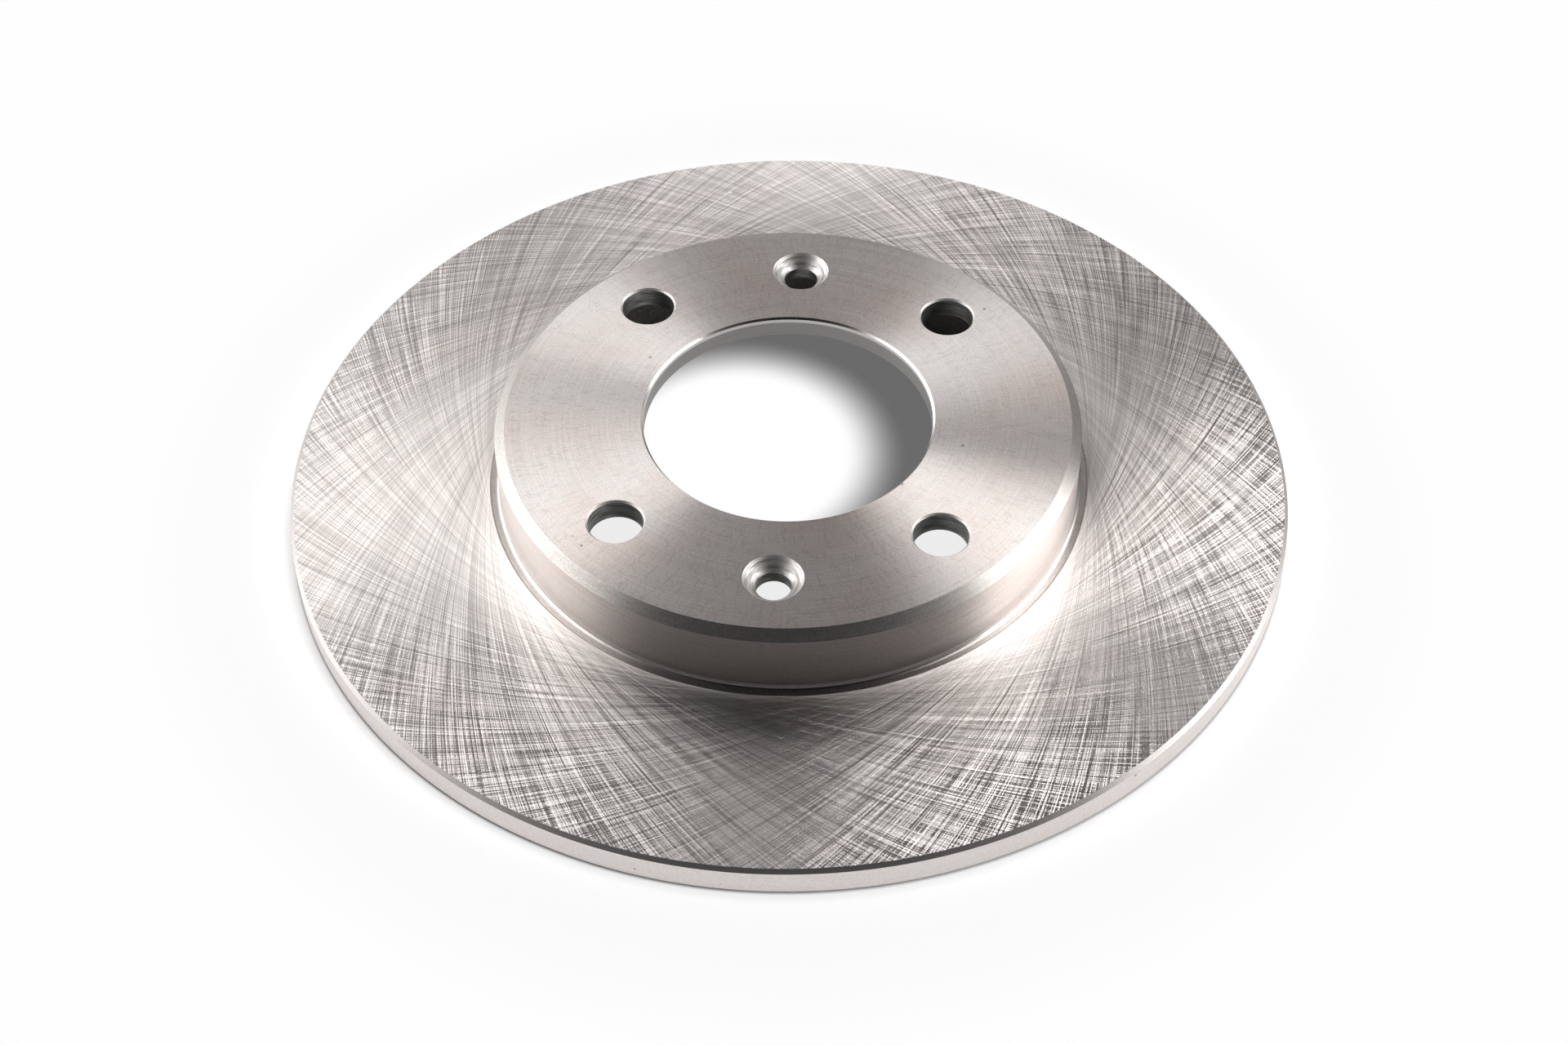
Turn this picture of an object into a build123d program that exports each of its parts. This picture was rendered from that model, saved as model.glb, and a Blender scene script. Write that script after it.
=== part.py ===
"""A solid, top-hat shaped brake disc for a passenger car, turned and ground from one iron casting.

Frame: the disc lies with its hat upwards. +Z is the disc's axis and points to the wheel, and
the origin is the centre of the lower friction face, so the disc stands on Z = 0.
The wheel-bolt holes lie on the diagonals, and the two locating screws on the Y axis.
All lengths are in millimetres.
"""

from build123d import *
import os

os.makedirs("parts", exist_ok=True)

# --- Driving dimensions ---------------------------------------------------------------

# Friction ring: the flat, solid band that the pads grip.
outer_diameter = 247.0
ring_thickness = 8.0
rim_chamfer = 0.9

# Hat: the drum-shaped centre that fits over the hub.
overall_height = 25.8
hat_diameter = 143.6
hat_wall = 7.0
flange_thickness = 5.8
hat_chamfer_width = 2.5
hat_chamfer_depth = 2.1

# Relief groove at the foot of the hat, where the grinding of the friction face ends.
groove_width = 2.6
groove_depth = 0.4
groove_fillet = 1.0

# Underside: a shallow step inside the friction face, and the edges that stay as cast.
back_step_width = 3.4
back_step_depth = 0.5
mouth_fillet = 1.6
ceiling_fillet = 3.0

# Centre bore, which locates the disc on the hub.
bore_diameter = 71.0
bore_chamfer = 0.5

# Four holes for the wheel bolts.
bolt_circle_diameter = 108.0
bolt_hole_count = 4
bolt_hole_diameter = 13.2
bolt_hole_chamfer = 0.45
chamfer_angle = 90.0

# Two countersunk holes for the screws that hold the disc on the hub.
screw_circle_diameter = 108.0
screw_hole_count = 2
screw_hole_diameter = 8.5
countersink_diameter = 14.4
countersink_angle = 90.0

# --- Derived positions ----------------------------------------------------------------

rim_radius = outer_diameter / 2
hat_radius = hat_diameter / 2
cavity_radius = hat_radius - hat_wall
bore_radius = bore_diameter / 2
groove_radius = hat_radius + groove_width
groove_floor = ring_thickness - groove_depth
back_step_radius = groove_radius + back_step_width
ceiling_height = overall_height - flange_thickness

# The first wheel-bolt hole stands halfway between the screws' axis and the axis across it.
first_bolt_angle = 45.0
first_screw_angle = 90.0


def nearest_corner(sketch, x, y):
    """Give the corner of a sketch that lies nearest to one point of its plane."""
    return sketch.vertices().sort_by_distance((x, y))[0]


# --- Brake disc -----------------------------------------------------------------------

with BuildPart() as brake_disc:
    # Half of the disc's cross-section: across is the radius, and up is the height.
    with BuildSketch(Plane.XZ) as half_section:
        with BuildLine():
            Polyline(
                (bore_radius, ceiling_height),
                (cavity_radius, ceiling_height),
                (cavity_radius, back_step_depth),
                (back_step_radius, back_step_depth),
                (back_step_radius, 0),
                (rim_radius, 0),
                (rim_radius, ring_thickness),
                (groove_radius, ring_thickness),
                (groove_radius - groove_depth, groove_floor),
                (hat_radius, groove_floor),
                (hat_radius, overall_height - hat_chamfer_depth),
                (hat_radius - hat_chamfer_width, overall_height),
                (bore_radius, overall_height),
                close=True,
            )
        make_face()
        fillet(nearest_corner(half_section, cavity_radius, ceiling_height), ceiling_fillet)
        fillet(nearest_corner(half_section, cavity_radius, back_step_depth), mouth_fillet)
        fillet(nearest_corner(half_section, hat_radius, groove_floor), groove_fillet)
        for height in (0, ring_thickness):
            chamfer(nearest_corner(half_section, rim_radius, height), rim_chamfer)
        for height in (ceiling_height, overall_height):
            chamfer(nearest_corner(half_section, bore_radius, height), bore_chamfer)
    revolve(axis=Axis.Z)

    # Wheel-bolt holes, with a small chamfer round each end.
    with Locations(Plane.XY.offset(overall_height)):
        with PolarLocations(bolt_circle_diameter / 2, bolt_hole_count, first_bolt_angle):
            CounterSinkHole(
                radius=bolt_hole_diameter / 2,
                counter_sink_radius=bolt_hole_diameter / 2 + bolt_hole_chamfer,
                counter_sink_angle=chamfer_angle,
            )
    lower_bolt_edges = (
        brake_disc.edges()
        .filter_by(GeomType.CIRCLE)
        .filter_by(lambda edge: abs(edge.radius - bolt_hole_diameter / 2) < 0.01)
        .group_by(Axis.Z)[0]
    )
    chamfer(lower_bolt_edges, bolt_hole_chamfer)

    # Screw holes, whose countersinks take flat-headed screws flush with the wheel face.
    with Locations(Plane.XY.offset(overall_height)):
        with PolarLocations(screw_circle_diameter / 2, screw_hole_count, first_screw_angle):
            CounterSinkHole(
                radius=screw_hole_diameter / 2,
                counter_sink_radius=countersink_diameter / 2,
                counter_sink_angle=countersink_angle,
            )

brake_disc.part.label = "brake_disc"
export_step(brake_disc.part, "parts/brake_disc.step")
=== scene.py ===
# %% [markdown]
# # A one-piece brake disc on a white studio table
#
# The real part is a single grey-iron casting. It is turned on a lathe, its two friction faces are ground,
# and its holes are drilled. So this lesson makes one closed mesh, and spends its effort on two things:
# the small forms that the cutting tools leave, and the way brushed metal throws light along its scratches.
#
# The frame comes first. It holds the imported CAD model, in metres, standing on Z = 0 with its axis on Z.

import bpy
import numpy as np
from mathutils import Matrix, Quaternion, Vector


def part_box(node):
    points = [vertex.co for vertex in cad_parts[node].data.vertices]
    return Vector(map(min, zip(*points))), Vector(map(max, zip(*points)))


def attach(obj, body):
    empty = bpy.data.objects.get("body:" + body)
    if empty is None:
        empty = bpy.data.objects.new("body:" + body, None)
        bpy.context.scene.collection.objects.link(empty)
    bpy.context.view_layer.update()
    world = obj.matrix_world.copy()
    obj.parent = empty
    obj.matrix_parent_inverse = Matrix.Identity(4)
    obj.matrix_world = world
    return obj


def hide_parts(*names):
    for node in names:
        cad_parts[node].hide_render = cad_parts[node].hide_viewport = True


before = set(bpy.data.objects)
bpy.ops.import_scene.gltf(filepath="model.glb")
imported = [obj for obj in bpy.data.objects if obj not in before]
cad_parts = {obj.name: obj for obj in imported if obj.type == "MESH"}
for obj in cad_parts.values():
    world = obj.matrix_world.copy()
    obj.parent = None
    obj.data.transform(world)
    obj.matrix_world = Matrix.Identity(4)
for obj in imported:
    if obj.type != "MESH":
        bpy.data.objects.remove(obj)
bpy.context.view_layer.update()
disc_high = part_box("brake_disc")[1]

# %% [markdown]
# ## Sizes
#
# The drawing sizes are the CAD model's. The outer radius and the height are read from its box, and the
# sizes of the inner forms are written here once, so that every profile below can be read like a drawing.

# %% Name the sizes
mm = 0.001

rim_radius = disc_high[0]
overall_height = disc_high[2]
ring_thickness = 8.0 * mm
rim_chamfer = 0.9 * mm

hat_radius = 71.8 * mm
cavity_radius = 64.8 * mm
ceiling_height = 20.0 * mm
hat_chamfer_width = 2.5 * mm
hat_chamfer_depth = 2.1 * mm

groove_radius = 74.4 * mm
groove_depth = 0.4 * mm
groove_fillet = 1.0 * mm
groove_floor = ring_thickness - groove_depth

back_step_radius = 77.8 * mm
back_step_depth = 0.5 * mm
mouth_fillet = 1.6 * mm
ceiling_fillet = 3.0 * mm

bore_radius = 35.5 * mm
bore_chamfer = 0.5 * mm
hole_circle_radius = 54.0 * mm
bolt_hole_radius = 6.6 * mm
bolt_hole_chamfer = 0.45 * mm
screw_hole_radius = 4.25 * mm
countersink_radius = 7.2 * mm

print("outer radius", round(rim_radius / mm, 2), "mm, height", round(overall_height / mm, 2), "mm")

# %% [markdown]
# ## How a turned part becomes a mesh
#
# A turned form is a surface of revolution: a half-profile in (radius, height), carried round the axis.
# That could be the Screw modifier, but then the six holes would need Boolean cuts, which leave long thin
# triangles and bad shading. Here each surface is a grid of points instead, worked out as whole arrays, and
# neighbouring grids use the very same border points, so that they weld into one closed skin.
#
# The profile runs from the wheel face outwards, down and back under the disc. Going that way, every face
# points out of the metal.

# %% Steps round the axis, and lines and arcs for the profile
sectors = 8
steps_per_sector = 45
steps_around = sectors * steps_per_sector
sector_angle = 2 * np.pi / sectors
angles = sector_angle / 2 + np.arange(steps_around + 1) * (2 * np.pi / steps_around)


def line(start, end, steps):
    """Points on a straight run: start + t * (end - start), with t from 0 to 1 in equal steps."""
    t = np.linspace(0, 1, steps + 1)[:, None]
    return np.array(start) + t * (np.array(end) - np.array(start))


def arc(centre, radius, first, last, steps):
    """Points on a fillet: centre + radius * (cos a, sin a), with a from first to last, in degrees."""
    a = np.radians(np.linspace(first, last, steps + 1))
    return np.array(centre) + radius * np.stack([np.cos(a), np.sin(a)], axis=-1)


def scalloped(start, end, count, depth, points=6):
    """
    A run cut by a round-nosed tool: each of the count furrows is a parabola, depth deep in its middle,
    and they meet in sharp crests. With u the place across one furrow, from 0 to 1, the surface lies
    4 * depth * u * (1 - u) under the straight run.
    """
    run = line(start, end, count * points)
    u = np.arange(count * points + 1) / points % 1
    along = np.array(end) - np.array(start)
    outward = np.array([-along[1], along[0]]) / np.hypot(*along)
    return run - (4 * depth * u * (1 - u))[:, None] * outward


def joined(*runs):
    """One profile from several runs, where each run starts on the last point of the one before."""
    return np.concatenate([runs[0]] + [run[1:] for run in runs[1:]])


print("steps round the disc:", steps_around)

# %% [markdown]
# ## Collecting the skin
#
# Every surface is kept as a patch: a grid of points, the finish it gets, and the place of the grid on a
# flat map of the part. The map has the wheel side as a large circle, the hub side as a smaller one, and
# the walls as strips, so that the finishes can be baked onto it later without overlaps.

# %% Patches and their place on the flat map
patches = []
map_scale = 0.70 / (2 * rim_radius)
wheel_side_centre = np.array([0.36, 0.36])
hub_side_scale = 0.27 / (2 * rim_radius)
hub_side_centre = np.array([0.855, 0.855])


def as_seen_from_above(points):
    """Map place of a point on the wheel side: its (x, y), scaled and moved into the large circle."""
    return wheel_side_centre + points[..., :2] * map_scale


def as_seen_from_below(points):
    """Map place of a point on the hub side: its (-x, y), scaled and moved into the small circle."""
    return hub_side_centre + points[..., :2] * [-hub_side_scale, hub_side_scale]


def as_strip(bottom, height, left=0.01, width=0.69):
    """Map places for a wall: columns go across the strip from the left, and rows down from its top."""

    def place(points):
        step = np.linalg.norm(np.diff(points, axis=0), axis=-1).mean(axis=1)
        down = np.concatenate([[0], np.cumsum(step)]) / step.sum()
        across = np.linspace(0, 1, points.shape[1])
        flat = np.empty(points.shape[:2] + (2,))
        flat[..., 0] = left + width * across
        flat[..., 1] = bottom + height * (1 - down)[:, None]
        return flat

    return place


def keep_patch(points, finish, place, turned_over=False):
    """Store a grid of points; turned_over swaps the side that its faces look to."""
    patches.append((points, place(points), finish, turned_over))


def turn(profile, finish, place):
    """Carry a profile round the axis: (r, h) at angle a goes to (r cos a, r sin a, h)."""
    radius, height = profile[:, :1], profile[:, 1:]
    across, deep = radius * np.cos(angles), radius * np.sin(angles)
    points = np.stack([across, deep, np.broadcast_to(height, across.shape)], axis=-1)
    keep_patch(points, finish, place)
    return points


print("flat map: one large circle, one small circle, and strips for the walls")

# %% [markdown]
# ## The outside, from the hat's chamfer to the rim
#
# The chamfer at the top of the hat is cut by a tool that feeds in slowly, so it keeps about ten fine
# furrows. The floor of the relief groove keeps a few as well. These are part of the shape, not of the
# paint: they catch the light as separate lines. Where two cuts of the tool meet, just above the fillet at
# the foot of the hat, they leave a ledge less than a tenth of a millimetre wide: the foot line.

# %% Hat chamfer, hat wall, relief groove, upper friction face and rim
chamfer_start = hat_radius - hat_chamfer_width
chamfer_foot = overall_height - hat_chamfer_depth
fillet_top = groove_floor + groove_fillet
fillet_end = hat_radius + groove_fillet
groove_edge = groove_radius - groove_depth
fillet_arc = arc((fillet_end, fillet_top), groove_fillet, 180, 270, 8)
chamfer_furrow = 0.03 * mm
groove_furrow = 0.012 * mm
ledge_height = 0.25 * mm
ledge_middle = hat_radius + 0.04 * mm
ledge_end = hat_radius + 0.07 * mm

hat_chamfer = scalloped(
    (chamfer_start, overall_height), (hat_radius, chamfer_foot), count=10, depth=chamfer_furrow
)
ledge_top = fillet_top + ledge_height
hat_wall = line((hat_radius, chamfer_foot), (hat_radius, ledge_top), 8)
foot_line = joined(
    line((hat_radius, ledge_top), (ledge_middle, fillet_top), 2),
    line((ledge_middle, fillet_top), (ledge_end, fillet_top - ledge_height), 2),
)
foot_of_hat = joined(
    line(tuple(foot_line[-1]), tuple(fillet_arc[2]), 1),
    fillet_arc[2:],
    scalloped((fillet_end, groove_floor), (groove_edge, groove_floor), count=4, depth=groove_furrow),
    line((groove_edge, groove_floor), (groove_radius, ring_thickness), 2),
)
friction_edge = rim_radius - rim_chamfer
friction_face = line((groove_radius, ring_thickness), (friction_edge, ring_thickness), 12)
upper_edge = line((friction_edge, ring_thickness), (rim_radius, ring_thickness - rim_chamfer), 2)
rim = line((rim_radius, ring_thickness - rim_chamfer), (rim_radius, rim_chamfer), 4)
lower_edge = line((rim_radius, rim_chamfer), (friction_edge, 0), 2)

turn(hat_chamfer, "turned edge", as_seen_from_above)
turn(hat_wall, "turned wall", as_strip(0.950, 0.045))
turn(foot_line, "turned rim", as_strip(0.717, 0.012))
turn(foot_of_hat, "turned groove", as_seen_from_above)
turn(friction_face, "ground face", as_seen_from_above)
turn(upper_edge, "rim edge", as_seen_from_above)
turn(rim, "turned rim", as_strip(0.915, 0.030))
turn(lower_edge, "rim edge", as_seen_from_below)
print("outside profile points:", len(hat_chamfer) + len(hat_wall) + len(foot_of_hat) + len(rim))

# %% [markdown]
# ## The hub side
#
# Under the disc, the lower friction face is ground like the upper one. Inside it is a shallow step, and
# then the hat opens. The inside of the hat stays as it was cast, so its wall isn't quite even: a few
# waves of different lengths, added up, move it in and out by a tenth of a millimetre.

# %% Profiles of the lower friction face, the step, the cast inside and the bore
fillet_start = mouth_fillet + back_step_depth
lower_face = line((friction_edge, 0), (back_step_radius, 0), 10)
step_wall = line((back_step_radius, 0), (back_step_radius, back_step_depth), 1)
mouth_radius = cavity_radius + mouth_fillet
step_face = line((back_step_radius, back_step_depth), (mouth_radius, back_step_depth), 4)

ceiling_end = cavity_radius - ceiling_fillet
wall_end = ceiling_height - ceiling_fillet
cast_inside = joined(
    arc((mouth_radius, fillet_start), mouth_fillet, 270, 180, 5),
    line((cavity_radius, fillet_start), (cavity_radius, wall_end), 14),
    arc((ceiling_end, wall_end), ceiling_fillet, 0, 90, 7),
)

face_start = bore_radius + bore_chamfer
bore_low = ceiling_height + bore_chamfer
bore_high = overall_height - bore_chamfer
bore_furrow = 0.008 * mm
bore = joined(
    line((face_start, ceiling_height), (bore_radius, bore_low), 1),
    scalloped((bore_radius, bore_low), (bore_radius, bore_high), count=4, depth=bore_furrow, points=4),
    line((bore_radius, bore_high), (face_start, overall_height), 2),
)
print("hub side profile points:", len(lower_face) + len(step_face) + len(cast_inside) + len(bore))

# %% Waves of the cast wall, and the surfaces of the hub side
wave_count = 12
cast_wave = 0.25 * mm


def uneven(points, depth):
    """
    Waves of a cast wall: the mean of several sines of (m * angle + k * height + phase), with m, k and
    the phase drawn once from a fixed seed, times depth. They fade to nothing at the patch's borders.
    """
    chance = np.random.default_rng(7)
    m = chance.integers(3, 60, wave_count)[:, None, None]
    k = chance.uniform(-900, 900, wave_count)[:, None, None]
    phase = chance.uniform(0, 2 * np.pi, wave_count)[:, None, None]
    angle = np.arctan2(points[..., 1], points[..., 0])
    waves = np.sin(m * angle + k * points[..., 2] + phase).mean(axis=0)
    fade = np.sin(np.pi * np.linspace(0, 1, len(points)))[:, None]
    moved = points.copy()
    moved[..., :2] *= 1 + (depth * waves * fade / cavity_radius)[..., None]
    return moved


turn(lower_face, "ground face", as_seen_from_below)
turn(step_wall, "turned groove", as_strip(0.735, 0.010))
turn(step_face, "turned groove", as_seen_from_below)
turn(cast_inside, "as cast", as_strip(0.850, 0.055))
patches[-1] = (uneven(patches[-1][0], cast_wave),) + patches[-1][1:]
turn(bore, "bored", as_strip(0.820, 0.020))
print("patches so far:", len(patches))

# %% [markdown]
# ## The two pierced faces
#
# The wheel face and the hub seat are flat rings with six holes. Each ring is cut into eight equal
# sectors. In a sector with a hole, the grid is ruled: its rows run from the hole's edge to the sector's
# border, and a border point and its hole point lie on one ray from the hole's centre.

# %% Border of a sector, and the edge of its hole
radial_steps = 16


def sector_angles(sector):
    """Angles of the points on a sector's arcs, from its first radial edge to its second."""
    return angles[(sector - 1) * steps_per_sector % steps_around :][: steps_per_sector + 1]


def sector_border(sector, inner, outer):
    """
    Border of a sector, once round and anticlockwise about its middle: the inner arc back, the radial
    edge out, the outer arc forth, and the other radial edge in.
    """
    a = sector_angles(sector)
    r = np.linspace(inner, outer, radial_steps + 1)
    inner_arc = inner * np.stack([np.cos(a[::-1]), np.sin(a[::-1])], axis=-1)
    edge_out = r[:, None] * np.array([np.cos(a[0]), np.sin(a[0])])
    outer_arc = outer * np.stack([np.cos(a), np.sin(a)], axis=-1)
    edge_in = r[::-1, None] * np.array([np.cos(a[-1]), np.sin(a[-1])])
    return joined(inner_arc, edge_out, outer_arc, edge_in)


def hole_centre(sector):
    """Centre of a hole: on the hole circle, in the middle of its sector."""
    a = sector * sector_angle
    return hole_circle_radius * np.array([np.cos(a), np.sin(a)])


def circle_facing(border, centre, radius):
    """Points on a hole's edge: centre + radius * the direction from the centre to a border point."""
    away = border - centre
    return centre + radius * away / np.linalg.norm(away, axis=-1, keepdims=True)


border_points = len(sector_border(1, face_start, chamfer_start))
print("points on a sector's border:", border_points)

# %% The wheel face and the hub seat
rows_round_hole = 6


def lifted(flat, height):
    """Points of a flat grid with one height added as their third number."""
    return np.concatenate([flat, np.full(flat.shape[:-1] + (1,), height)], axis=-1)


def pierced_face(height, inner, outer, edge_radius, place, looks_down):
    """All sectors of one flat ring; edge_radius gives the hole's edge in each sector, or None."""
    for sector in range(sectors):
        radius = edge_radius[sector]
        if radius is None:
            a = sector_angles(sector)
            r = np.linspace(inner, outer, radial_steps + 1)[:, None]
            grid = np.stack([r * np.cos(a), r * np.sin(a)], axis=-1)
        else:
            border = sector_border(sector, inner, outer)
            edge = circle_facing(border, hole_centre(sector), radius)
            t = np.linspace(0, 1, rows_round_hole)[:, None, None]
            grid = edge + t * (border - edge)
        keep_patch(lifted(grid, height), "turned face", place, turned_over=looks_down)


screw, bolt = countersink_radius, bolt_hole_radius + bolt_hole_chamfer
wheel_face_edges = [None, bolt, screw, bolt, None, bolt, screw, bolt]
hub_seat_edges = [None, bolt, screw_hole_radius, bolt, None, bolt, screw_hole_radius, bolt]
pierced_face(overall_height, face_start, chamfer_start, wheel_face_edges, as_seen_from_above, False)
pierced_face(ceiling_height, face_start, ceiling_end, hub_seat_edges, as_seen_from_below, True)
print("patches with the faces:", len(patches))

# %% [markdown]
# ## The drilled holes
#
# A hole's wall joins the circle on the wheel face to the one on the hub seat. The two circles have their
# points at slightly different angles, so the angles change evenly on the way down. A drill leaves shallow
# rings, which are part of the profile, as are the small chamfers and the screws' countersinks.

# %% Hole profiles
drill_top = (bolt_hole_radius, overall_height - bolt_hole_chamfer)
drill_bottom = (bolt_hole_radius, ceiling_height + bolt_hole_chamfer)
drill_ring = 0.015 * mm
bolt_profile = joined(
    line((bolt, overall_height), drill_top, 1),
    scalloped(drill_top, drill_bottom, count=4, depth=-drill_ring, points=3),
    line(drill_bottom, (bolt, ceiling_height), 1),
)

countersink_depth = countersink_radius - screw_hole_radius
countersink_foot = (screw_hole_radius, overall_height - countersink_depth)
screw_profile = joined(
    line((screw, overall_height), countersink_foot, 8),
    line(countersink_foot, (screw_hole_radius, ceiling_height), 4),
)
print("hole profile points:", len(bolt_profile), "and", len(screw_profile))

# %% Walls of the holes


def drill(sector, profile, strip):
    """
    Wall of one hole: at depth share t, the point at angle (1 - t) * top + t * bottom about the hole's
    axis, at the profile's radius and height.
    """
    centre = hole_centre(sector)
    above = sector_border(sector, face_start, chamfer_start) - centre
    below = sector_border(sector, face_start, ceiling_end) - centre
    top = np.unwrap(np.arctan2(above[:, 1], above[:, 0]))
    bottom = np.unwrap(np.arctan2(below[:, 1], below[:, 0]))
    radius, height = profile[:, :1], profile[:, 1:]
    t = (overall_height - height) / (overall_height - ceiling_height)
    a = (1 - t) * top + t * bottom
    wall = np.stack([centre[0] + radius * np.cos(a), centre[1] + radius * np.sin(a)], axis=-1)
    points = np.concatenate([wall, np.broadcast_to(height, a.shape)[..., None]], axis=-1)
    keep_patch(points, "drilled", strip, turned_over=True)


strip_pitch, strip_width = 0.115, 0.105
hole_sectors = [sector for sector in range(sectors) if wheel_face_edges[sector]]
for place_number, sector in enumerate(hole_sectors):
    profile = screw_profile if wheel_face_edges[sector] == screw else bolt_profile
    strip_left = 0.01 + strip_pitch * place_number
    drill(sector, profile, as_strip(0.76, 0.045, strip_left, strip_width))
print("holes drilled in sectors", hole_sectors)

# %% [markdown]
# ## Welding the skin
#
# All patches go into one mesh. Border points that two patches share are made one, by rounding every
# place to a ten-thousandth of a millimetre and keeping each place once. Then every edge must belong to
# exactly two faces, and the volume must come out as the volume of the metal: both are printed.

# %% Join all patches
weld_step = 0.0001 * mm
finishes = [
    "turned face",
    "turned edge",
    "turned wall",
    "turned groove",
    "ground face",
    "turned rim",
    "rim edge",
    "bored",
    "drilled",
    "as cast",
]


def grid_corners(rows, columns, first, turned_over):
    """Corner numbers of all faces of a grid whose points are numbered row by row from first."""
    number = first + np.arange(rows * columns).reshape(rows, columns)
    loop = [number[:-1, :-1], number[1:, :-1], number[1:, 1:], number[:-1, 1:]]
    if turned_over:
        loop = loop[::-1]
    return np.stack(loop, axis=-1).reshape(-1, 4)


def weld():
    """Points, faces, map places and finish numbers of all patches, with shared points made one."""
    points, flat, faces, finish = [], [], [], []
    first = 0
    for grid, place, name, turned_over in patches:
        rows, columns = grid.shape[:2]
        corners = grid_corners(rows, columns, first, turned_over)
        points.append(grid.reshape(-1, 3))
        flat.append(place.reshape(-1, 2))
        faces.append(corners)
        finish.append(np.full(len(corners), finishes.index(name)))
        first += rows * columns
    points, flat = np.concatenate(points), np.concatenate(flat)
    faces, finish = np.concatenate(faces), np.concatenate(finish)
    rounded = np.round(points / weld_step).astype(np.int64)
    keep, new_number = np.unique(rounded, axis=0, return_index=True, return_inverse=True)[1:]
    return points[keep], new_number.reshape(-1)[faces], flat[faces.ravel()], finish


print("finishes:", len(finishes), "patches:", len(patches))

# %% Build the casting's mesh
smooth_limit = np.radians(32)


def skin_checks(points, faces):
    """
    Print how many edges don't belong to exactly two faces, and the volume, which is a sixth of the sum
    of a . (b x c + c x d) over all faces with corners a, b, c and d.
    """
    ends = np.stack([faces, np.roll(faces, -1, axis=1)], axis=-1).reshape(-1, 2)
    uses = np.unique(np.sort(ends, axis=1), axis=0, return_counts=True)[1]
    a, b, c, d = (points[faces[:, i]] for i in range(4))
    volume = np.einsum("ij,ij->i", a, np.cross(b, c) + np.cross(c, d)).sum() / 6
    print("faces", len(faces), "open or doubled edges", int((uses != 2).sum()))
    print("volume", round(volume / mm**3), "cubic millimetres")


def build_casting(name):
    """Make the mesh object from the welded skin."""
    points, faces, flat, finish = weld()
    mesh = bpy.data.meshes.new(name)
    mesh.from_pydata(points, [], faces)
    mesh.polygons.foreach_set("material_index", finish.astype(np.int32))
    mesh.polygons.foreach_set("use_smooth", np.ones(len(faces), dtype=bool))
    mesh.uv_layers.new(name="OFBake").data.foreach_set("uv", flat.astype(np.float32).ravel())
    mesh.set_sharp_from_angle(angle=smooth_limit)
    mesh.update()
    casting = bpy.data.objects.new(name, mesh)
    bpy.context.collection.objects.link(casting)
    skin_checks(points, faces)
    return casting


casting = build_casting("disc_casting")
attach(casting, "root")
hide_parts("brake_disc")

# %% [markdown]
# ## Writing materials as short lines
#
# A node material is a small program. These helpers add one node and give back its output, so that a
# formula can be written in one line instead of being wired by hand.

# %% Node helpers: one node, and sums on its output


def feed(tree, socket, value):
    """Link another node's output into a socket, or set the socket to a plain value."""
    if isinstance(value, bpy.types.NodeSocket):
        tree.links.new(value, socket)
    else:
        socket.default_value = value


def put(tree, kind, inputs=None, **settings):
    """Add one node; inputs maps a socket's name or number to a value or another node's output."""
    node = tree.nodes.new(kind)
    for key, value in settings.items():
        setattr(node, key, value)
    for key, value in (inputs or {}).items():
        feed(tree, node.inputs[key], value)
    return node


def calc(tree, operation, *values):
    """One Math node on its values."""
    return put(tree, "ShaderNodeMath", dict(enumerate(values)), operation=operation).outputs[0]


def along(tree, operation, *values):
    """One Vector Math node; the output is a number for LENGTH, DISTANCE and DOT_PRODUCT."""
    node = put(tree, "ShaderNodeVectorMath", dict(enumerate(values)), operation=operation)
    return node.outputs["Value" if operation in ("LENGTH", "DISTANCE", "DOT_PRODUCT") else "Vector"]


def scaled(tree, vector, factor):
    """A vector times a number."""
    node = put(tree, "ShaderNodeVectorMath", {0: vector, "Scale": factor}, operation="SCALE")
    return node.outputs["Vector"]


def ranged(tree, value, low, high, new_low, new_high, curve="LINEAR"):
    """Take a value from one range to another, held at the ends."""
    sockets = {"Value": value, "From Min": low, "From Max": high, "To Min": new_low, "To Max": new_high}
    return put(tree, "ShaderNodeMapRange", sockets, interpolation_type=curve).outputs["Result"]


def noise(tree, vector, scale, detail=2.0, roughness=0.5):
    """Soft random values about one half, at scale cells per unit of the vector."""
    sockets = {"Vector": vector, "Scale": scale, "Detail": detail, "Roughness": roughness}
    return put(tree, "ShaderNodeTexNoise", sockets).outputs[0]


def from_noise(tree, value, new_low, new_high):
    """Take the range that noise mostly keeps to, 0.35 to 0.65, to another, held at the ends."""
    return ranged(tree, value, 0.35, 0.65, new_low, new_high)


print("helpers for numbers and noise ready")

# %% Node helpers: vectors and colours


def share_of(tree, vector, axis):
    """One of a vector's three numbers: 0 is x, 1 is y and 2 is z."""
    return put(tree, "ShaderNodeSeparateXYZ", {0: vector}).outputs[axis]


def upright(tree, value):
    """The vector (0, 0, value)."""
    return put(tree, "ShaderNodeCombineXYZ", {2: value}).outputs[0]


def flattened(tree, place):
    """The vector (x, y, 0) of a place: its way out from the disc's axis."""
    return along(tree, "MULTIPLY", place, (1.0, 1.0, 0.0))


def round_axis(tree, place):
    """The direction along a mark that runs round the axis: (0, 0, 1) x place."""
    return along(tree, "CROSS_PRODUCT", (0.0, 0.0, 1.0), place)


def tinted(tree, colour, shade):
    """A colour times a number that varies."""
    grey = put(tree, "ShaderNodeCombineXYZ", {0: shade, 1: shade, 2: shade}).outputs[0]
    return along(tree, "MULTIPLY", colour, grey)


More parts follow.
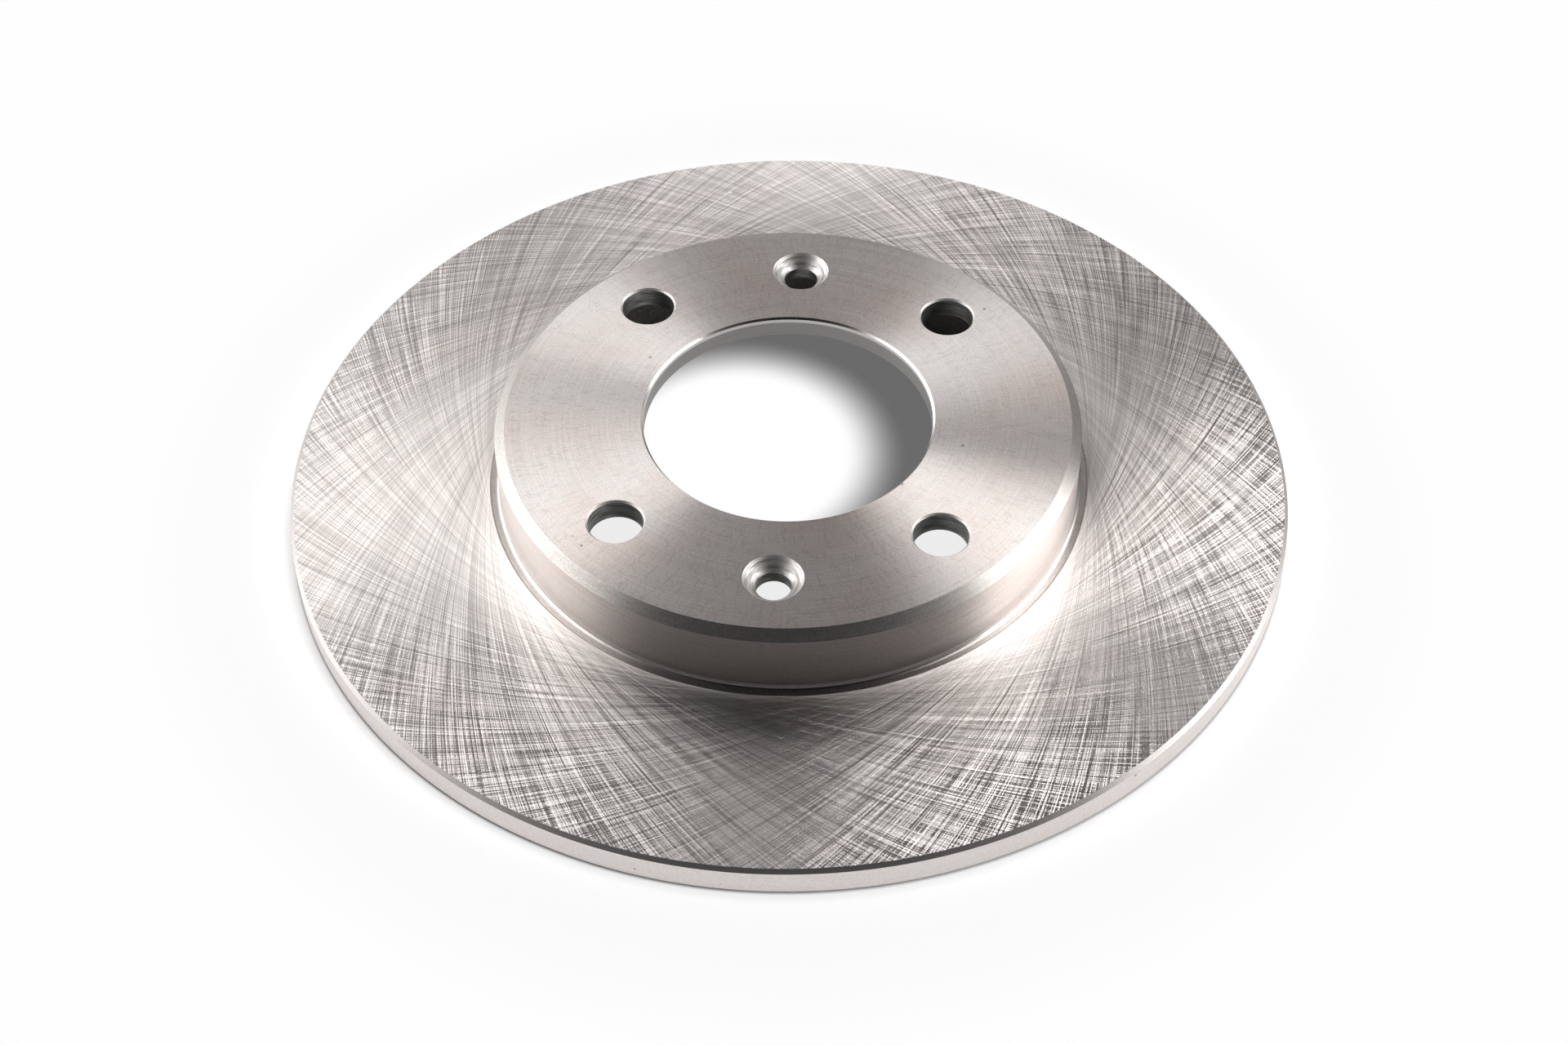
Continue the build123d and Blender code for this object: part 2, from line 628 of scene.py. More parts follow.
def mixed(tree, factor, low, high, kind="RGBA"):
    """Blend two colours, two vectors or two numbers by a factor."""
    node = put(tree, "ShaderNodeMix", data_type=kind)
    first = {"RGBA": 6, "VECTOR": 4, "FLOAT": 2}[kind]
    for socket, value in ((0, factor), (first, low), (first + 1, high)):
        feed(tree, node.inputs[socket], value)
    return node.outputs[{"RGBA": 2, "VECTOR": 1, "FLOAT": 0}[kind]]


def bump(tree, height, distance, strength=1.0):
    """A normal that is tilted by the slope of a height, which counts as distance metres per unit."""
    sockets = {"Strength": strength, "Distance": distance, "Height": height}
    return put(tree, "ShaderNodeBump", sockets).outputs[0]


print("helpers for vectors and colours ready")

# %% Node helpers: materials and node groups
quarter_turn = 0.25


def start_material(name):
    """A new material with a Principled shader of bare metal, and the place of each point."""
    material = bpy.data.materials.new(name)
    material.use_nodes = True
    tree = material.node_tree
    shader = tree.nodes["Principled BSDF"]
    shader.inputs["Metallic"].default_value = 1.0
    place = put(tree, "ShaderNodeTexCoord").outputs["Object"]
    return material, tree, shader, place


def plug(tree, node, **sockets):
    """Feed a node's sockets by their names; an underscore in a name stands for a space."""
    for name, value in sockets.items():
        feed(tree, node.inputs[name.replace("_", " ")], value)


def start_group(name, inputs, outputs):
    """An empty node group; inputs and outputs map a socket's name to Float, Vector or Color."""
    tree = bpy.data.node_groups.new(name, "ShaderNodeTree")
    for in_out, sockets in (("INPUT", inputs), ("OUTPUT", outputs)):
        for socket, kind in sockets.items():
            tree.interface.new_socket(socket, in_out=in_out, socket_type="NodeSocket" + kind)
    return tree, tree.nodes.new("NodeGroupInput").outputs, tree.nodes.new("NodeGroupOutput").inputs


def use(tree, group, **inputs):
    """Place a node group in a material, with its own values; gives back the group's outputs."""
    node = tree.nodes.new("ShaderNodeGroup")
    node.node_tree = group
    plug(tree, node, **inputs)
    return node.outputs


print("helpers for materials and groups ready")

# %% [markdown]
# ## Effects that several finishes share
#
# Three things are on every machined face of the casting, in different amounts: rings from the tool, tiny
# pits where a flake of graphite broke out, and faint brown stains from the oil that keeps rust away. Each
# is a node group with named inputs, so that a finish only says how much of it there is.

# %% Node group: turning marks
fine_marks_per_mark = 3.0


def turning_marks():
    """
    Noise that is short across the tool's path and long round the axis. The place across the path is
    radius minus height, which grows on a face, a wall and a chamfer alike.
    """
    tree, given, result = start_group(
        "turning_marks",
        {"Place": "Vector", "Marks per Metre": "Float", "Turns": "Float"},
        {"Mark": "Float", "Fine Mark": "Float"},
    )
    flat = flattened(tree, given["Place"])
    turned = scaled(tree, along(tree, "NORMALIZE", flat), given["Turns"])
    height = share_of(tree, given["Place"], 2)
    across = calc(tree, "SUBTRACT", along(tree, "LENGTH", flat), height)
    step = upright(tree, calc(tree, "MULTIPLY", across, given["Marks per Metre"]))
    fine_step = scaled(tree, step, fine_marks_per_mark)
    mark = noise(tree, along(tree, "ADD", step, turned), 1.0, 3.0, 0.7)
    fine_mark = noise(tree, along(tree, "ADD", fine_step, turned), 1.0, 1.0)
    tree.links.new(mark, result["Mark"])
    tree.links.new(fine_mark, result["Fine Mark"])
    return tree


marks_group = turning_marks()
print(marks_group.name, [socket.name for socket in marks_group.interface.items_tree])

# %% Node group: pits and nicks
speck_core, speck_edge = 0.10, 0.22


def pits_and_nicks():
    """
    Round specks in a few cells of a cell pattern: a cell has one where its random number passes one
    minus the share, and the speck ends at a fixed distance from the cell's point.
    """
    tree, given, result = start_group(
        "pits_and_nicks",
        {"Place": "Vector", "Cells per Metre": "Float", "Share": "Float"},
        {"Speck": "Float"},
    )
    sockets = {"Vector": given["Place"], "Scale": given["Cells per Metre"]}
    cells = put(tree, "ShaderNodeTexVoronoi", sockets)
    chance = put(tree, "ShaderNodeSeparateColor", {0: cells.outputs["Color"]}).outputs[0]
    chosen = calc(tree, "GREATER_THAN", chance, calc(tree, "SUBTRACT", 1.0, given["Share"]))
    near = ranged(tree, cells.outputs["Distance"], speck_core, speck_edge, 1.0, 0.0)
    tree.links.new(calc(tree, "MULTIPLY", chosen, near), result["Speck"])
    return tree


pits_group = pits_and_nicks()
print(pits_group.name, [socket.name for socket in pits_group.interface.items_tree])

# %% Node group: oil film
stains_per_metre = 34.0
oil_brown = (0.97, 0.86, 0.83, 1)


def oil_film():
    """Tint the metal brown where slow noise passes its middle, by an amount from 0 to 1."""
    tree, given, result = start_group(
        "oil_film", {"Place": "Vector", "Metal": "Color", "Amount": "Float"}, {"Color": "Color"}
    )
    stain = noise(tree, given["Place"], stains_per_metre, 3.0, 0.6)
    mask = calc(tree, "MULTIPLY", ranged(tree, stain, 0.42, 0.68, 0.0, 1.0), given["Amount"])
    brown = put(tree, "ShaderNodeMix", {0: 1.0, 7: oil_brown}, data_type="RGBA")
    brown.blend_type = "MULTIPLY"
    tree.links.new(given["Metal"], brown.inputs[6])
    tree.links.new(mixed(tree, mask, given["Metal"], brown.outputs[2]), result["Color"])
    return tree


oil_group = oil_film()
print(oil_group.name, [socket.name for socket in oil_group.interface.items_tree])

# %% [markdown]
# ## The cross-ground friction face
#
# The face is ground by a large wheel whose centre lies beside the disc, while the disc turns. Each grain
# leaves an arc of a circle about the wheel's centre, and since the wheel cuts on both sides, the arcs
# cross. For a point at radius r, the wheel's centre lies at the angle plus or minus a from the point,
# with cos a = (r² + d² - R²) / (2 r d), where R is the wheel's radius and d its distance from the axis.
#
# A scratch is a value that stays the same along one arc, so its noise is read at the direction of the
# wheel's centre, and not at the point. A slow part along the radius gives the scratches an end. Each
# family shades the metal as fine lines, and the two shades are multiplied, so that the lines cross. The
# metal is a little lighter where the first family is the stronger one.
#
# At each point, one of the two families decides which way the metal is brushed. It is chosen by a noise
# of wider streaks and by the depth of the scratches there. This gives the Tangent, the direction across
# the scratches, in which the light spreads, and so the two-armed fans of light on the face.

# %% The grinding wheel and its scratches
iron = (0.600, 0.567, 0.547)
wheel_radius = 272.0 * mm
innermost_arc = 74.3 * mm
wheel_offset = wheel_radius - innermost_arc
scratch_sizes = ((250.0, 30.0, 0.38), (520.0, 60.0, 0.62))
family_seeds = (3.0, 41.0)


def swung(tree, unit, angle):
    """A direction turned about the disc's axis."""
    sockets = {"Vector": unit, "Angle": angle}
    return put(tree, "ShaderNodeVectorRotate", sockets, rotation_type="Z_AXIS").outputs[0]


def along_arcs(tree, radius, centre_way, per_radian, per_metre, seed=0.0):
    """Noise along one family of arcs, with per_radian cells across and per_metre cells along them."""
    step = upright(tree, calc(tree, "MULTIPLY_ADD", radius, per_metre, seed))
    return noise(tree, along(tree, "ADD", scaled(tree, centre_way, per_radian), step), 1.0, 0.0)


def scratches(tree, radius, centre_way, seed):
    """Depth of one family of scratches: a coarse and a fine noise, each times its share."""
    total = 0.0
    for per_radian, per_metre, share in scratch_sizes:
        one_size = along_arcs(tree, radius, centre_way, per_radian, per_metre, seed)
        total = calc(tree, "MULTIPLY_ADD", one_size, share, total)
    return total


def wheel_centre_ways(tree, radius, unit):
    """Directions to the wheel's centre for the two families: unit turned by plus and minus a."""
    top = calc(tree, "MULTIPLY_ADD", radius, radius, wheel_offset**2 - wheel_radius**2)
    cosine = calc(tree, "DIVIDE", top, calc(tree, "MULTIPLY", radius, 2 * wheel_offset))
    swing = calc(tree, "ARCCOSINE", calc(tree, "MAXIMUM", cosine, -1.0))
    return swung(tree, unit, swing), swung(tree, unit, calc(tree, "MULTIPLY", swing, -1.0))


print("wheel", wheel_radius / mm, "mm, offset", round(wheel_offset / mm, 1), "mm")

# %% Cross-ground iron
streak_size = (320.0, 80.0)
depth_in_choice = 0.4
line_depths = (0.44, 0.56)
line_shades = (0.71, 1.23)
family_contrast = 0.12
bright_nick = (0.8, 0.76, 0.74, 1)
scratch_relief = 0.02 * mm


def cross_ground_iron():
    """Material of both friction faces."""
    material, tree, shader, place = start_material("cross_ground_iron")
    flat = flattened(tree, place)
    radius = along(tree, "LENGTH", flat)
    ways = wheel_centre_ways(tree, radius, along(tree, "NORMALIZE", flat))
    first, second = (scratches(tree, radius, way, seed) for way, seed in zip(ways, family_seeds))
    first_across, second_across = (
        along(tree, "SUBTRACT", flat, scaled(tree, way, wheel_offset)) for way in ways
    )
    streaks = [along_arcs(tree, radius, way, *streak_size) for way in ways]
    deeper = calc(tree, "SUBTRACT", first, second)
    leaning = calc(tree, "MULTIPLY_ADD", deeper, depth_in_choice, streaks[0])
    stronger = calc(tree, "GREATER_THAN", leaning, streaks[1])
    crossed = calc(tree, "ADD", first, second)
    shades = [ranged(tree, depth, *line_depths, *line_shades) for depth in (first, second)]
    lift = calc(tree, "MULTIPLY", stronger, family_contrast)
    shade = calc(tree, "MULTIPLY_ADD", *shades, lift)
    metal = use(tree, oil_group, Place=place, Metal=tinted(tree, iron, shade), Amount=0.25)["Color"]
    nick = use(tree, pits_group, Place=place, Cells_per_Metre=260.0, Share=0.012)["Speck"]
    plug(
        tree,
        shader,
        Base_Color=mixed(tree, nick, metal, bright_nick),
        Roughness=ranged(tree, crossed, 0.86, 1.14, 0.33, 0.29),
        Anisotropic=0.95,
        Normal=bump(tree, crossed, scratch_relief),
        Tangent=mixed(tree, stronger, second_across, first_across, "VECTOR"),
    )
    return material


materials = {"ground face": cross_ground_iron()}
print("finish made:", materials["ground face"].name)

# %% [markdown]
# ## Turned iron
#
# On a lathe every mark runs round the axis. Z × place gives the direction along a mark, and the shader's
# rotation of a quarter turns that to the direction across it. A flat face shows one more thing: where the
# tool trembled, its marks wander, and they show as thin wavy lines. Those are the places where a slow
# noise, stretched along the radius, passes through one half.

# %% Wavy lines
waves_per_metre = 120.0
waves_round_axis = 26.0
wave_width = 0.035


def wavy_lines(tree, place, strength):
    """Thin darker lines where noise, stretched along the radius, is within a hair of one half."""
    flat = flattened(tree, place)
    out = upright(tree, calc(tree, "MULTIPLY", along(tree, "LENGTH", flat), waves_per_metre))
    turned = scaled(tree, along(tree, "NORMALIZE", flat), waves_round_axis)
    slow = noise(tree, along(tree, "ADD", turned, out), 1.0, 2.0, 0.55)
    off_half = calc(tree, "ABSOLUTE", calc(tree, "SUBTRACT", slow, 0.5))
    return ranged(tree, off_half, 0.0, wave_width, -strength, strength * 0.3)


print("wavy lines: a wave each", round(1 / (waves_per_metre * mm), 1), "mm along the radius")

# %% Turned iron
grain_per_metre = 1900.0
mark_relief = 0.01 * mm
dark_pit = (0.25, 0.23, 0.22, 1)


def turned_iron(name, roughness, anisotropic, marks, contrast, colour=iron, waves=0.0, oil=0.2):
    """
    Material of a surface that was turned about the disc's own axis. The shade of the metal is one, give
    or take contrast for the tool's marks, and as much again for the grain of the iron.
    """
    material, tree, shader, place = start_material(name)
    marked = use(tree, marks_group, Place=place, Marks_per_Metre=marks, Turns=2.0)
    fine = noise(tree, place, grain_per_metre, 1.0)
    grain = ranged(tree, fine, 0.3, 0.7, -contrast, contrast)
    shade = calc(tree, "ADD", grain, from_noise(tree, marked["Mark"], 1 - contrast, 1 + contrast))
    if waves:
        shade = calc(tree, "ADD", shade, wavy_lines(tree, place, waves))
    tint = tinted(tree, colour, shade)
    metal = use(tree, oil_group, Place=place, Metal=tint, Amount=oil)["Color"]
    pit = use(tree, pits_group, Place=place, Cells_per_Metre=420.0, Share=0.010)["Speck"]
    plug(
        tree,
        shader,
        Base_Color=mixed(tree, pit, metal, dark_pit),
        Roughness=from_noise(tree, marked["Mark"], roughness * 1.07, roughness * 0.93),
        Anisotropic=anisotropic,
        Anisotropic_Rotation=quarter_turn,
        Normal=bump(tree, marked["Fine Mark"], mark_relief, 0.2),
        Tangent=round_axis(tree, place),
    )
    return material


print("turned iron: grain of", round(1 / (grain_per_metre * mm), 2), "mm")

# %% Bored iron
bright_from, bright_to = 24.25 * mm, 24.5 * mm
smooth_from, smooth_to = 25.25 * mm, 25.35 * mm
# Painted shade: the lower part of the bore is coloured dark to stand for shade.
bore_painted_shade = (0.25, 0.243, 0.237, 1)
bright_bore = (0.56, 0.53, 0.51, 1)


def bored_iron():
    """
    The bore: rougher and darker below, where the dark colour is a painted shade, and bright in a band
    under the wheel face. The share of bright metal goes from 0 to 1 over a quarter of a millimetre of
    height.
    """
    material, tree, shader, place = start_material("bored_iron")
    height = share_of(tree, place, 2)
    marked = use(tree, marks_group, Place=place, Marks_per_Metre=2600.0, Turns=2.0)
    bright = ranged(tree, height, bright_from, bright_to, 0.0, 1.0)
    metal = mixed(tree, bright, bore_painted_shade, bright_bore)
    plug(
        tree,
        shader,
        Base_Color=tinted(tree, metal, from_noise(tree, marked["Mark"], 0.94, 1.06)),
        Roughness=ranged(tree, height, smooth_from, smooth_to, 0.5, 0.25),
        Anisotropic=0.2,
        Anisotropic_Rotation=quarter_turn,
        Tangent=round_axis(tree, place),
    )
    return material


materials["bored"] = bored_iron()
print("finish made:", materials["bored"].name)

# %% [markdown]
# The turned surfaces differ in how sharp the tool was and how fast it fed. Each row below is one of them:
# its roughness, how strongly the marks stretch the light, how many marks there are to the metre, and how
# much they shade the metal. The edges were cut last and fastest, and the rim's two chamfers stay dull.

# %% All turned finishes
turned_finishes = {
    "turned face": dict(roughness=0.31, anisotropic=0.95, marks=3800.0, contrast=0.09),
    "turned edge": dict(roughness=0.36, anisotropic=0.75, marks=9000.0, contrast=0.12),
    "turned wall": dict(roughness=0.33, anisotropic=0.65, marks=3000.0, contrast=0.08),
    "turned groove": dict(roughness=0.30, anisotropic=0.60, marks=5000.0, contrast=0.10),
    "turned rim": dict(roughness=0.40, anisotropic=0.20, marks=5000.0, contrast=0.06),
    "rim edge": dict(roughness=0.42, anisotropic=0.30, marks=5000.0, contrast=0.06),
}
turned_finishes["turned face"].update(waves=0.10, oil=0.7)
turned_finishes["turned edge"].update(colour=(0.31, 0.295, 0.28))
turned_finishes["turned wall"].update(colour=(0.44, 0.41, 0.395))
turned_finishes["turned groove"].update(colour=(0.40, 0.375, 0.36))
turned_finishes["turned rim"].update(colour=(0.68, 0.64, 0.62))
turned_finishes["rim edge"].update(colour=(0.30, 0.285, 0.275))

for finish, look in turned_finishes.items():
    materials[finish] = turned_iron(finish.replace(" ", "_") + "_iron", **look)
print("turned finishes:", list(turned_finishes))

# %% [markdown]
# ## Drilled holes and the cast skin
#
# A drill leaves a torn wall, and the walls' darker colour is partly painted shade inside the holes. Its
# marks run round each hole's own axis, and Z × normal gives that direction on any upright wall. Inside
# the hat, the metal was never cut: it keeps the dark, sandy skin that it got in the mould, so it is rough
# and pitted, and less like clean metal. Its near-black colour is partly that skin and partly painted
# shade.

# %% Drilled iron
drill_rings_per_metre = 1500.0
# The walls' dark colour is partly a torn finish and partly painted shade inside the holes.
torn_and_shaded_wall = (0.14, 0.138, 0.133, 1)
clean_cone = (0.36, 0.345, 0.332, 1)
ring_relief = 0.02 * mm


def drilled_iron():
    """
    Material of the six holes. The share of clean-cut metal goes from 0 to 1 as the normal's upward part
    goes from 0.2 to 0.6, so that the chamfers and countersinks are clean and lighter, and the upright
    walls are torn and darker, partly as painted shade inside the holes.
    """
    material, tree, shader, place = start_material("drilled_iron")
    normal = put(tree, "ShaderNodeNewGeometry").outputs["Normal"]
    rings = upright(tree, calc(tree, "MULTIPLY", share_of(tree, place, 2), drill_rings_per_metre))
    mark = noise(tree, along(tree, "ADD", rings, scaled(tree, normal, 1.2)), 1.0, 3.0, 0.7)
    cut_clean = ranged(tree, share_of(tree, normal, 2), 0.2, 0.6, 0.0, 1.0)
    metal = mixed(tree, cut_clean, torn_and_shaded_wall, clean_cone)
    plug(
        tree,
        shader,
        Base_Color=tinted(tree, metal, from_noise(tree, mark, 0.5, 1.5)),
        Roughness=from_noise(tree, mark, 0.60, 0.46),
        Anisotropic=0.2,
        Anisotropic_Rotation=quarter_turn,
        Normal=bump(tree, mark, ring_relief, 0.3),
        Tangent=round_axis(tree, normal),
    )
    return material


materials["drilled"] = drilled_iron()
print("finish made:", materials["drilled"].name)

# %% Cast skin
sand_per_metre, patches_per_metre = 900.0, 60.0
# Both colours are near black: partly the cast skin's own colour, partly painted shade inside the hat.
dark_skin_and_shade, pale_skin_and_shade = (0.038, 0.036, 0.035, 1), (0.06, 0.055, 0.052, 1)
sand_relief = 0.25 * mm


def cast_skin():
    """Material of the inside of the hat, as it left the mould. Its near-black colour is partly the skin
    and partly painted shade.
    """
    material, tree, shader, place = start_material("cast_skin")
    sand = noise(tree, place, sand_per_metre, 4.0, 0.65)
    patchy = from_noise(tree, noise(tree, place, patches_per_metre, 2.0), 0.0, 1.0)
    colour = mixed(tree, patchy, dark_skin_and_shade, pale_skin_and_shade)
    plug(
        tree,
        shader,
        Base_Color=tinted(tree, colour, ranged(tree, sand, 0.3, 0.7, 0.7, 1.3)),
        Metallic=0.6,
        Roughness=ranged(tree, sand, 0.3, 0.7, 0.62, 0.5),
        Normal=bump(tree, sand, sand_relief, 0.8),
    )
    return material


materials["as cast"] = cast_skin()
for finish in finishes:
    casting.data.materials.append(materials[finish])
print("finishes:", [material.name for material in casting.data.materials])

# %% [markdown]
# ## The camera
#
# A long lens looks down at the disc. The camera stands on the line from its target, at a distance, and
# leans a little to one side.

# %% Camera
camera_turn = np.radians(4.2)
camera_rise = np.radians(46.35)
camera_lean = np.radians(-0.777)
camera_distance = 0.6244
aim_right, aim_up = -0.00119, -0.0085
lens_length = 56.87


def aimed_camera():
    """
    Put the camera at target + distance * back, with its up axis leant round the view's axis. The target
    is the frame's origin, moved a little along the camera's right and up.
    """
    data = bpy.data.cameras.new("studio_camera")
    camera = bpy.data.objects.new("studio_camera", data)
    bpy.context.collection.objects.link(camera)
    back = Vector((0, -np.cos(camera_rise), np.sin(camera_rise)))
    level = Vector((1, 0, 0))
    right = Matrix.Rotation(camera_lean, 3, back) @ level
    up = back.cross(right)
    turned = Matrix.Rotation(camera_turn, 3, "Z")
    target = turned @ (right * aim_right + up * aim_up)
    axes = [turned @ axis for axis in (right, up, back)]
    camera.matrix_world = Matrix.Translation(target + axes[2] * camera_distance) @ (
        Matrix(axes).transposed().to_4x4()
    )
    data.lens = lens_length
    data.sensor_width = 36.0
    data.clip_start = 0.01
    data.clip_end = 20.0
    bpy.context.scene.camera = camera
    return camera


camera = aimed_camera()
print("camera at", [round(v, 4) for v in camera.location])

# %% [markdown]
# ## The table, the lamps and the sky
#
# The disc lies on a white table. Two upright soft boxes stand left and right of it, with a wide, weak
# card behind, and they are what the metal reflects. A distant lamp in front lights the table alone, and
# makes the soft shadow.
#
# The lamps alone would leave the table dark under the hat and too dark at the rim, so the table also
# has a painted light of its own, which depends on the place on the table and on nothing else. It paints
# a pool of light and a shadow under the hat, and a contact shadow at the rim.

# %% The table's painted light and shadow under the hat
pool_centre = (-14.1 * mm, 12.1 * mm, 0.0)
pool_from, pool_to = 27.2 * mm, 44.0 * mm
painted_pool_shadow = 0.417
pool_power = 2.2
pool_share_centre = (-1.6 * mm, 22.0 * mm, 0.0)
pool_share_from, pool_share_to = 38 * mm, 44 * mm
front_from, front_to = -2 * mm, 8 * mm
# Painted light seen through the front holes, and painted shade further back under the hat.
front_light, painted_back_shade = 0.84, 0.02


def painted_light_under_hat(tree, place, flat):
    """
    Under the hat, all of it painted: round the bore a soft pool of light that fades into a painted shadow,
    (smooth step) ** 2.2 of the distance from its middle, and outside that an even painted light in front,
    which ends halfway back in painted shade.
    """
    from_pool = along(tree, "DISTANCE", flat, pool_centre)
    edge = ranged(tree, from_pool, pool_from, pool_to, 1.0, painted_pool_shadow, "SMOOTHSTEP")
    pool = calc(tree, "POWER", edge, pool_power)
    around = ranged(tree, share_of(tree, place, 1), front_from, front_to, front_light, painted_back_shade)
    from_bore = along(tree, "DISTANCE", flat, pool_share_centre)
    pool_share = ranged(tree, from_bore, pool_share_from, pool_share_to, 1.0, 0.0)
    return mixed(tree, pool_share, around, pool, "FLOAT")


print("pool of light: radius", round(pool_from / mm, 1), "to", round(pool_to / mm, 1), "mm")

# %% The table's painted light and contact shadow outside the rim
rim_from, rim_to = 123.9 * mm, 126.3 * mm
gap_from = 123.3 * mm
far_from, far_to = 126.0 * mm, 165.0 * mm
hat_shade_end = cavity_radius + 3 * mm


def painted_table_light(tree, place):
    """
    Strength of the table's own, painted light at a point, and whether the point is beyond the hat.
    Outside,
    the light is nearly even: it falls off a little over the last two millimetres towards the rim, as
    painted shade, and is almost gone in the gap below the rim's chamfer, as a painted contact shadow.
    """
    flat = flattened(tree, place)
    radius = along(tree, "LENGTH", flat)
    # Painted shade towards the rim, and a painted contact shadow in the gap below its chamfer.
    near_rim = ranged(tree, radius, rim_from, rim_to, 0.46, 0.62)
    contact = ranged(tree, radius, gap_from, rim_from, 0.05, 1.0)
    far_off = ranged(tree, radius, far_from, far_to, 0.0, 0.07)
    outside = calc(tree, "MULTIPLY_ADD", near_rim, contact, far_off)
    beyond_hat = calc(tree, "GREATER_THAN", radius, hat_shade_end)
    under = painted_light_under_hat(tree, place, flat)
    return mixed(tree, beyond_hat, under, outside, "FLOAT"), beyond_hat


print("contact shade from", round(gap_from / mm, 1), "to", round(rim_from / mm, 1), "mm")

# %% White table
table_half = 4.0
table_gap = 0.02 * mm
clear_ray = 1.2 * mm


def white_table():
    """
    A large white plane just under the disc. It is clear from below, and clear to rays that start within a
    millimetre or so of it, so that the hub side can be looked at as well.
    """
    corners = table_half * np.array([(-1, -1, 0), (1, -1, 0), (1, 1, 0), (-1, 1, 0)])
    mesh = bpy.data.meshes.new("table")
    mesh.from_pydata(corners - [0, 0, table_gap], [], [(0, 1, 2, 3)])
    table = bpy.data.objects.new("table", mesh)
    bpy.context.collection.objects.link(table)
    material, tree, shader, place = start_material("white_table")
    glow, beyond_hat = painted_table_light(tree, place)
    # Under the hat the table is black, so that only its painted light and shadow show there.
    white = mixed(tree, beyond_hat, (0.0, 0.0, 0.0, 1), (0.85, 0.85, 0.85, 1))
    plug(tree, shader, Base_Color=white, Metallic=0.0, Roughness=0.9, Specular_IOR_Level=0.0)
    light = put(tree, "ShaderNodeEmission", {"Color": (1, 1, 1, 1), "Strength": glow})
    both = put(tree, "ShaderNodeAddShader", {0: shader.outputs[0], 1: light.outputs[0]})
    from_below = put(tree, "ShaderNodeNewGeometry").outputs["Backfacing"]
    ray_length = put(tree, "ShaderNodeLightPath").outputs["Ray Length"]
    clear = calc(tree, "MAXIMUM", from_below, calc(tree, "LESS_THAN", ray_length, clear_ray))
    see_through = tree.nodes.new("ShaderNodeBsdfTransparent").outputs[0]
    surface = put(tree, "ShaderNodeMixShader", {0: clear, 1: both.outputs[0], 2: see_through})
    tree.links.new(surface.outputs[0], tree.nodes["Material Output"].inputs[0])
    mesh.materials.append(material)
    return table


table = white_table()
print(table.name, "is", [round(size, 2) for size in table.dimensions], "metres")

# %% Soft boxes


def towards(azimuth, rise):
    """Direction of length 1 at an azimuth, counted from the camera's right, and a rise, in degrees."""
    a, e = np.radians(azimuth) + camera_turn, np.radians(rise)
    return Vector((np.cos(e) * np.cos(a), np.cos(e) * np.sin(a), np.sin(e)))


def panel(
    name, azimuth, rise, half_width, half_height, radiance, distance, fade=0.0, lean=0.0, lift=0.0
):
    """
    A rectangular lamp that faces the disc from the given direction: azimuth is counted from the
    camera's right towards its far side, and rise from the table up. It may lean to one side, and slide by
    lift in its own plane. Across its width, its light falls off as (1 - x / half_width) ** fade, with x
    counted from the middle.
    """
    data = bpy.data.lights.new(name, "AREA")
    data.shape = "RECTANGLE"
    data.size = 2 * half_width
    data.size_y = 2 * half_height
    data.energy = radiance * np.pi * data.size * data.size_y
    data.use_nodes = True
    tree = data.node_tree
    across = share_of(tree, put(tree, "ShaderNodeNewGeometry").outputs["Parametric"], 0)
    from_edge = calc(tree, "PINGPONG", across, 0.5)
    strength = calc(tree, "POWER", calc(tree, "MULTIPLY", from_edge, 2.0), fade)
    tree.links.new(strength, tree.nodes["Emission"].inputs["Strength"])
    lamp = bpy.data.objects.new(name, data)
    bpy.context.collection.objects.link(lamp)
    turn_to_disc = towards(azimuth, rise).to_track_quat("Z", "Y")
    lamp.rotation_mode = "QUATERNION"
    lamp.rotation_quaternion = turn_to_disc @ Quaternion((0, 0, 1), np.radians(lean))
    slide = lamp.rotation_quaternion @ Vector((0, lift, 0))
    lamp.location = towards(azimuth, rise) * distance + slide
    lamp.visible_camera = False
    lamp.visible_diffuse = False


